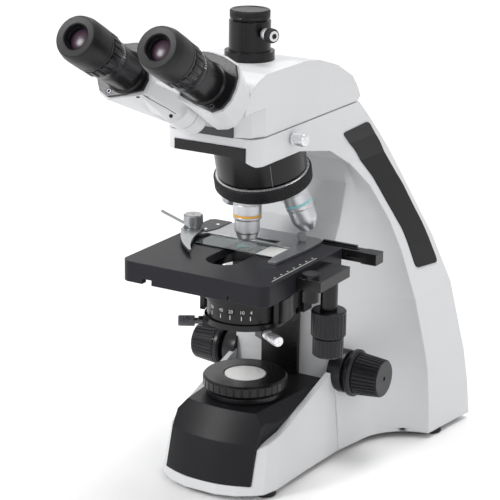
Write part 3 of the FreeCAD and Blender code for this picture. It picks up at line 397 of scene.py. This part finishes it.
# Corners of radius and height above the table, on the optical axis
BARREL_TOP = [(11.6, 236.4), (11.9, 236.8), (11.9, 242.2), (11.5, 242.7), (9.9, 242.7), (9.9, 245.5),
              (0, 245.5)]
BARRELS = {
    # node: (quarter, ring colour, ring height, corners up to the top)
    "objective_10x": (0, "orange", 226.4, [(0, 206.4), (3.5, 206.4), (4.2, 205.8), (7.4, 205.8), (8.4, 206.8),
                                           (9.4, 211.0), (10.3, 212.2), (10.5, 213.0), (10.5, 222.4),
                                           (10.9, 223.0), (11.7, 223.4), (11.9, 224.0), (11.9, 225.2),
                                           (11.5, 225.4), (11.5, 227.6), (11.9, 227.8), (11.9, 235.6),
                                           (11.6, 236.0)]),
    "objective_40x": (1, "blue", 226.8, [(0, 201.2), (3.0, 201.2), (4.3, 200.8), (5.6, 201.2), (6.7, 202.2),
                                         (9.6, 207.2), (10.4, 208.9), (10.9, 210.6), (11.2, 212.6),
                                         (11.2, 221.6), (11.7, 222.2), (11.9, 223.0), (11.9, 225.6),
                                         (11.5, 225.8), (11.5, 227.8), (11.9, 228.0), (11.9, 235.6),
                                         (11.6, 236.0)]),
    "objective_100x": (2, "white", 224.8, [(0, 200.4), (2.2, 200.4), (3.4, 200.0), (5.9, 202.0),
                                           (10.6, 209.8), (11.4, 211.6), (11.9, 212.4), (11.9, 223.6),
                                           (11.5, 223.8), (11.5, 225.8), (11.9, 226.0), (11.9, 235.6),
                                           (11.6, 236.0)]),
    "objective_4x": (3, "red", 230.4, [(0, 218.4), (6.0, 218.4), (6.6, 217.4), (8.8, 217.4), (10.2, 218.8),
                                       (10.4, 223.4), (11.8, 224.8), (11.9, 225.6), (11.9, 229.2),
                                       (11.5, 229.4), (11.5, 231.4), (11.9, 231.6), (11.9, 235.6),
                                       (11.6, 236.0)]),
}


def objectives():
    for node, (quarter, colour, height, corners) in BARRELS.items():
        place = socket(quarter)
        barrel = lathe(node + "_barrel", corners + BARREL_TOP, place, "nosepiece", "satin_chrome", 160,
                       ribs(90, 0.3, 236.7, 242.3, 0.5), smooth=12)
        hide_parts(node)
        lathe(node + "_ring", [(11.4, height - 0.9), (11.75, height - 0.8), (11.75, height + 0.8),
                               (11.4, height + 0.9)],
              place, "nosepiece", "satin_chrome", 96, closed=True, material=PAINTS[colour])
        low = corners[0][1]
        lathe(node + "_front_lens", [(0, low - 0.3), (2.2, low - 0.1), (3.0, low + 0.1), (3.0, low + 0.4),
                                     (0, low + 0.4)], place,
              "nosepiece", "glass_clear", 48, material=MATERIALS["glass_coated"])


# ---------------------------------------------------------------- eyepieces

# Corners of radius and distance out from the seat, from the tube to the eyecup
BARREL_CORNERS = [(10.9, 17.0), (16.4, 17.0), (16.4, 20.7), (16.1, 20.9), (16.1, 21.4), (16.4, 21.6),
                  (16.4, 28.0), (16.9, 28.8), (16.9, 29.6)]
GRIP_CORNERS = [(17.7, 30.2), (17.9, 30.8), (17.9, 40.4), (17.7, 41.0)]
CUP_CORNERS = [(12.0, 41.6), (17.2, 41.6), (17.2, 42.6), (17.9, 43.0), (18.1, 44.0), (18.1, 45.6),
               (17.7, 45.9), (17.7, 46.3), (18.1, 46.6), (18.2, 48.0), (18.2, 60.5), (17.9, 62.6),
               (17.2, 65.6), (16.6, 67.6), (16.1, 68.6), (15.5, 69.0), (10.7, 68.5), (10.0, 67.9),
               (9.8, 66.8), (9.8, 61.4), (11.1, 60.8), (11.1, 58.4), (12.0, 58.2)]


def eyepieces():
    for side, hand in (("right", 1), ("left", -1)):
        place = joint_place(f"dioptre_{side}_turn", lift=-OUT_FROM_SEAT * MM)
        body = f"ocular_{side}"
        barrel = lathe(f"eyepiece_barrel_{side}",
                       BARREL_CORNERS + [(17.0, 29.9)] + GRIP_CORNERS + [(16.6, 41.3), (10.9, 41.3)],
                       place, body, "black_plastic", 288, ribs(20, 1.2, 30.1, 41.1, 0.66), closed=True)
        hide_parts(f"eyepiece_{side}")
        cup = lathe(f"eyecup_rubber_{side}", CUP_CORNERS, place, body, "eyecup_rubber", 160, closed=True,
                    smooth=16)
        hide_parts(f"eyecup_{side}")
        dome = [(0, 54.4), (10.9, 54.4), (10.9, 58.0)] + [
            (9.2 * math.cos(turn), 60.0 + 2.6 * math.sin(turn))
            for turn in (math.radians(9 * step) for step in range(11))]
        lens = lathe(f"eye_lens_dome_{side}", dome[:-1] + [(0, 62.6)], place, body, "glass_coated", 96,
                     smooth=50)
        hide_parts(f"eye_lens_{side}")
        lathe(f"lens_ring_{side}", [(9.75, 59.4), (9.75, 63.6), (9.4, 63.9), (8.7, 62.8), (8.6, 61.8),
                                    (8.6, 59.4)], place,
              body, "black_metal", 96, closed=True)
        marks = [(8 + 7.2 * k, 24.2 if k % 5 else 24.7, 0.45, 2.0 if k % 5 else 3.2) for k in range(21)]
        wrapped(f"dioptre_marks_{side}", marks, 16.4, 0.05, place, body, "black_plastic", PAINTS["mark"])
        seat = place @ Matrix.Translation((hand * 10.5 * MM, -16.6 * MM, -FLANGE_SET_BACK * MM))
        screw(f"flange_screw_{side}", seat, 2.0, 2.3, f"binocular_{side}")


def camera_tube():
    """Fine ribs on the cap, and a bright thumb screw."""
    low, high = (Vector(corner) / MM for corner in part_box("phototube_cap"))
    rim, top = high.x, high.z
    skirt = top - 7.2
    corners = [(0, low.z), (13.8, low.z), (13.8, skirt), (rim - 0.4, skirt), (rim, skirt + 0.4),
               (rim, skirt + 1.2), (rim - 0.3, skirt + 1.5), (rim - 0.3, skirt + 1.8), (rim, skirt + 2.1),
               (rim, top - 1.0), (rim - 0.9, top), (rim - 2.4, top), (rim - 2.9, top - 0.5), (0, top - 0.5)]
    cap = lathe("phototube_cap_ribbed", corners, Matrix(), "head", "black_metal", 320,
                ribs(64, 0.45, skirt + 2.0, top - 0.9, 0.6))
    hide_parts("phototube_cap")
    seat = Vector(JOINTS["photo_screw_turn"]["pos_m"])
    place = joint_place("photo_screw_turn", (0, 0, 1), -math.hypot(seat.x, seat.y))
    knob = lathe("phototube_screw_knurled", [(0, 14.2), (2.0, 14.2), (2.0, 18.2), (2.8, 18.2), (2.8, 27.2),
                                             (5.4, 27.2), (5.9, 27.8), (5.9, 32.0), (5.2, 33.4), (3.4, 33.7),
                                             (0, 33.4)], place, "photo_screw_body",
                 "black_metal", 192, ribs(40, 0.35, 27.7, 32.1, 0.6))
    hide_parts("phototube_screw")
    for name, corners in (("collar", [(2.8, 21.4), (4.4, 21.4), (4.7, 22.0), (4.7, 26.4), (4.3, 27.1),
                                      (2.8, 27.1)]),
                          ("face", [(2.2, 33.3), (4.2, 33.2), (4.2, 33.9), (3.8, 34.2), (2.2, 34.2)])):
        lathe("phototube_screw_" + name, corners, place, "photo_screw_body", "black_metal", 96, closed=True,
              material=PAINTS["bright"])


def bright_knobs():
    """Knurled head lock screw and centring screws."""
    low, high = (Vector(corner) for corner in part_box("head_lock_screw"))
    place = frame_at((0, (low.y + high.y) / 2, (low.z + high.z) / 2), (1, 0, 0), (0, 0, 1))
    end = high.x / MM
    corners = [(0, low.x / MM), (2.5, low.x / MM), (2.5, end - 12), (4.8, end - 12), (5.5, end - 11.4),
               (5.6, end - 10.6), (5.6, end - 10), (5.0, end - 9.6), (5.0, end - 9), (5.6, end - 8.6),
               (5.6, end - 1.2), (4.9, end - 0.3), (3.2, end), (2.9, end - 0.4), (0, end - 0.4)]
    knob = lathe("head_lock_knurled", corners, place, "lock_body", "satin_chrome", 288,
                 ribs(48, 0.35, end - 8.5, end - 1.3, 0.6), material=PAINTS["bright"])
    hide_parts("head_lock_screw")
    for side, paint in (("right", "bright"), ("left", "dark_chrome")):
        seat = Vector(JOINTS[f"centring_{side}_turn"]["pos_m"])
        place = joint_place(f"centring_{side}_turn", (0, 0, 1), -math.hypot(seat.x, seat.y))
        corners = [(0, 27.0), (2.3, 27.0), (2.3, 36.0), (3.9, 36.0), (4.2, 36.4), (4.2, 39.4), (3.9, 40.0),
                   (2.6, 40.2), (2.6, 42.8), (4.2, 43.0), (4.6, 43.6), (4.6, 55.6), (4.0, 57.0), (0, 57.0)]
        knob = lathe(f"centring_knurled_{side}", corners, place, f"centring_{side}_body", "satin_chrome", 216,
                     ribs(36, 0.4, 43.5, 55.7, 0.6), material=PAINTS[paint])
        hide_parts(f"centring_screw_{side}")


def screw(name, place, height, radius, body, slot="steel"):
    """Socket-head screw, seen from its head."""
    profile = [(0, height - 1.2), (radius * 0.5, height - 1.2), (radius * 0.5, height + 0.9),
               (radius * 0.82, height + 0.9), (radius, height + 0.5), (radius, height - 1.6),
               (0, height - 1.6)]
    return lathe(name, profile, place, body, slot, 32, material=PAINTS["dark_chrome"])


def housing_details():
    """The left housing's joint line and its two screw holes."""
    place = joint_place("dioptre_left_turn", lift=-OUT_FROM_SEAT * MM)
    seam = [(18.1, -14.8, -10.6), (22.0, -15.9, -15.4), (27.7, -17.5, -19.1), (34.7, -19.3, -23.6),
            (40.4, -21.2, -27.6)]
    ribbon("housing_seam", seam, 0.45, (0.33, -0.58, 0.75), place, "binocular_left", "white_paint",
           PAINTS["seam"])
    for name, spot, facing in (("front", (12.9, -16.4, -12.6), (0.28, -0.96, 0.05)),
                               ("rear", (36.6, -23.4, -27.5), (0.34, -0.56, 0.75))):
        seat = place @ frame_at([part * MM for part in spot], facing, (0, 0, 1))
        lathe(f"housing_hole_{name}", [(0, -0.6), (1.5, -0.6), (1.5, 0.25), (1.1, 0.35), (0, 0.1)], seat,
              "binocular_left", "white_paint", 32, material=PAINTS["hole"])


# ---------------------------------------------------------------- stage details

def stage_details():
    right, _, top = (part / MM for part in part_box("stage_top")[1])
    line = [bar((0.45, 73, 0.12), (right - 4.3, -28.5, top + 0.02))]
    line += [bar((1.3, 1.3, 0.12), (right - 7.0, -56 + 10.3 * k, top + 0.02)) for k in range(7)]
    flat = Matrix()
    merged("stage_scale", line, flat, "stage", "dark_grey_metal", PAINTS["mark"])
    slide_low, slide_high = (Vector(corner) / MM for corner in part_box("specimen_slide"))
    glass_top = slide_high.z
    merged("slide_frosted_end", [bar((17, 25.4, 0.10),
                                     (slide_high.x - 9, (slide_low.y + slide_high.y) / 2, glass_top - 0.12))],
           flat, "holder", "glass_clear", PAINTS["white"])
    smear = []
    for step in range(28):
        angle = FULL * step / 28
        reach = 6.4 + 1.3 * math.sin(3 * angle + 0.6) + 0.8 * math.sin(7 * angle)
        smear.append((-5 + reach * math.cos(angle) * 0.8, 1 + reach * math.sin(angle) * 0.8))
    prism("slide_specimen", smear, glass_top - 0.04, glass_top + 0.02, flat, "holder", "glass_clear",
          material=STAIN)


def holder_details():
    """Black cover with two screws over the holder's left arm."""
    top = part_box("specimen_slide")[0][2] / MM + 2.55
    cover = [(-66, 22), (-60, 15), (-49, 15), (-45.5, 28), (-45.5, 51.3), (-62, 51.3), (-65.8, 47.8)]
    prism("holder_arm_cover", cover, top - 0.4, top + 0.7, Matrix(), "holder", "black_metal", bevel=0.3)
    for index, (x, y) in enumerate(((-53, 20), (-51, 37))):
        seat = Matrix.Translation((x * MM, y * MM, top * MM))
        lathe(f"holder_cover_screw_{index + 1}", [(0, 0.2), (1.9, 0.2), (1.9, 1.0), (1.2, 1.5), (0, 1.6)],
              seat, "holder", "steel", 32, material=PAINTS["bright"])


STAIN = glass("specimen_stain", (0.30, 0.62, 0.60), 0.2, 0.6)


# ---------------------------------------------------------------- numbers on a dial

def dial_numbers(name, numbers, radius, height, size, place, body, slot, material):
    """Numerals laid round a cylinder: (degrees, text) each."""
    vertices, faces = [], []
    for degrees, text in numbers:
        curve = bpy.data.curves.new("numeral", "FONT")
        curve.body, curve.size, curve.align_x, curve.align_y = text, size, "CENTER", "CENTER"
        curve.resolution_u = 3
        holder = bpy.data.objects.new("numeral", curve)
        mesh = bpy.data.meshes.new_from_object(holder)
        start = len(vertices)
        for vertex in mesh.vertices:
            angle = math.radians(degrees) + vertex.co.x / radius
            spot = Vector(((radius + 0.06) * math.cos(angle), (radius + 0.06) * math.sin(angle),
                           height + vertex.co.y))
            vertices.append(place @ (spot * MM))
        faces += [tuple(start + index for index in face.vertices) for face in mesh.polygons]
        bpy.data.objects.remove(holder)
        bpy.data.curves.remove(curve)
        bpy.data.meshes.remove(mesh)
    return add_piece(name, vertices, faces, body, slot, None, material)


def condenser_scale():
    low, high = (Vector(corner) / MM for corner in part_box("iris_ring"))
    radius = high.x
    place = Matrix()
    numbers = [(-117, "80"), (-98, "40"), (-82, "20"), (-65, "10"), (-52, "4")]
    dial_numbers("iris_numbers", numbers, radius + 0.15, low.z + 10.6, 4.2, place, "iris_body", "black_metal",
                 PAINTS["mark"])
    marks = [(degrees - 1, low.z + 5.4, 0.7, 3.6) for degrees, _ in numbers]
    wrapped("iris_marks", marks, radius, 0.05, place, "iris_body", "black_metal", PAINTS["mark"])
    wrapped("iris_index_patch", [(-82, low.z + 10.6, 7.2, 6.4)], radius, 0.12, place, "iris_body",
            "black_metal", PAINTS["hole"])


def focus_collars():
    """Short bosses of the stand round the focus shafts."""
    low, high = (Vector(corner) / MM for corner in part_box("coarse_knob_right"))
    axis_y, axis_z = (low.y + high.y) / 2, (low.z + high.z) / 2
    for side, hand in (("right", 1), ("left", -1)):
        place = frame_at((0, axis_y * MM, axis_z * MM), (hand, 0, 0), (0, 0, 1))
        lathe(f"focus_collar_{side}", [(5.6, 47), (19.0, 47), (19.0, 58.2), (18.2, 59.4), (13.4, 59.4),
                                       (13.4, 60.2), (5.6, 60.2)],
              place, "stand", "black_plastic", 96, closed=True)


def build_details():
    turret_grip()
    mount_light_line()
    camera_tube()
    bright_knobs()
    housing_details()
    focus_collars()
    holder_details()
    objectives()
    eyepieces()
    stage_details()
    condenser_scale()


build_details()


# ---------------------------------------------------------------- stage, light and camera

def floor():
    mesh = bpy.data.meshes.new("floor")
    reach = 6.0
    mesh.from_pydata([(-reach, -reach, 0), (reach, -reach, 0), (reach, reach, 0), (-reach, reach, 0)], [],
                     [(0, 1, 2, 3)])
    plane = bpy.data.objects.new("floor", mesh)
    bpy.context.collection.objects.link(plane)
    plane.location.z = -0.0002
    g = Graph("floor")
    g.links.new(g.mix(g.ramp(g.noise(3, 2.0), 0.0, 1.0), (0.93, 0.93, 0.93, 1), (0.95, 0.95, 0.95, 1)),
                g.shader.inputs["Base Color"])
    g.feed(g.shader, Roughness=0.8)
    mesh.materials.append(g.material)


def lamp(name, spot, target, power, size, colour=(1, 1, 1)):
    data = bpy.data.lights.new(name, "AREA")
    data.energy, data.size, data.color = power, size, colour
    light = bpy.data.objects.new(name, data)
    bpy.context.collection.objects.link(light)
    light.location = spot
    light.rotation_euler = (Vector(target) - Vector(spot)).to_track_quat("-Z", "Y").to_euler()


def camera():
    """Front right, a little above, with a long lens."""
    turn, tip, roll = math.radians(30.5), math.radians(17.2), math.radians(0.8)
    ahead = Vector((-math.sin(turn) * math.cos(tip), math.cos(turn) * math.cos(tip), -math.sin(tip)))
    right = Vector((math.cos(turn), math.sin(turn), 0))
    up = right.cross(ahead)
    leaned = right * math.cos(roll) + up * math.sin(roll)
    rise = leaned.cross(ahead)
    data = bpy.data.cameras.new("camera")
    data.lens, data.sensor_width, data.shift_x = 136.2, 36.0, 0.0064
    data.clip_end = 30
    view = bpy.data.objects.new("camera", data)
    bpy.context.collection.objects.link(view)
    view.matrix_world = Matrix((
        (leaned.x, rise.x, -ahead.x, 0.7630),
        (leaned.y, rise.y, -ahead.y, -1.2954),
        (leaned.z, rise.z, -ahead.z, 0.6606),
        (0, 0, 0, 1)))
    bpy.context.scene.camera = view


def studio():
    world = bpy.data.worlds.new("studio")
    world.use_nodes = True
    world.node_tree.nodes["Background"].inputs["Color"].default_value = (1, 1, 1, 1)
    world.node_tree.nodes["Background"].inputs["Strength"].default_value = 0.64
    bpy.context.scene.world = world
    bpy.context.scene.view_settings.view_transform = "Standard"
    middle = (0, 0.02, 0.22)
    lamp("key", (-1.2, -1.7, 1.6), middle, 27, 0.6)
    lamp("fill", (1.9, -1.2, 1.0), middle, 5, 1.0)
    lamp("top", (0.3, 0.4, 2.1), middle, 20, 1.0)
    lamp("backdrop", (-1.9, 3.2, 2.4), (-1.9, 3.3, 0), 45, 2.6)


floor()
camera()
studio()
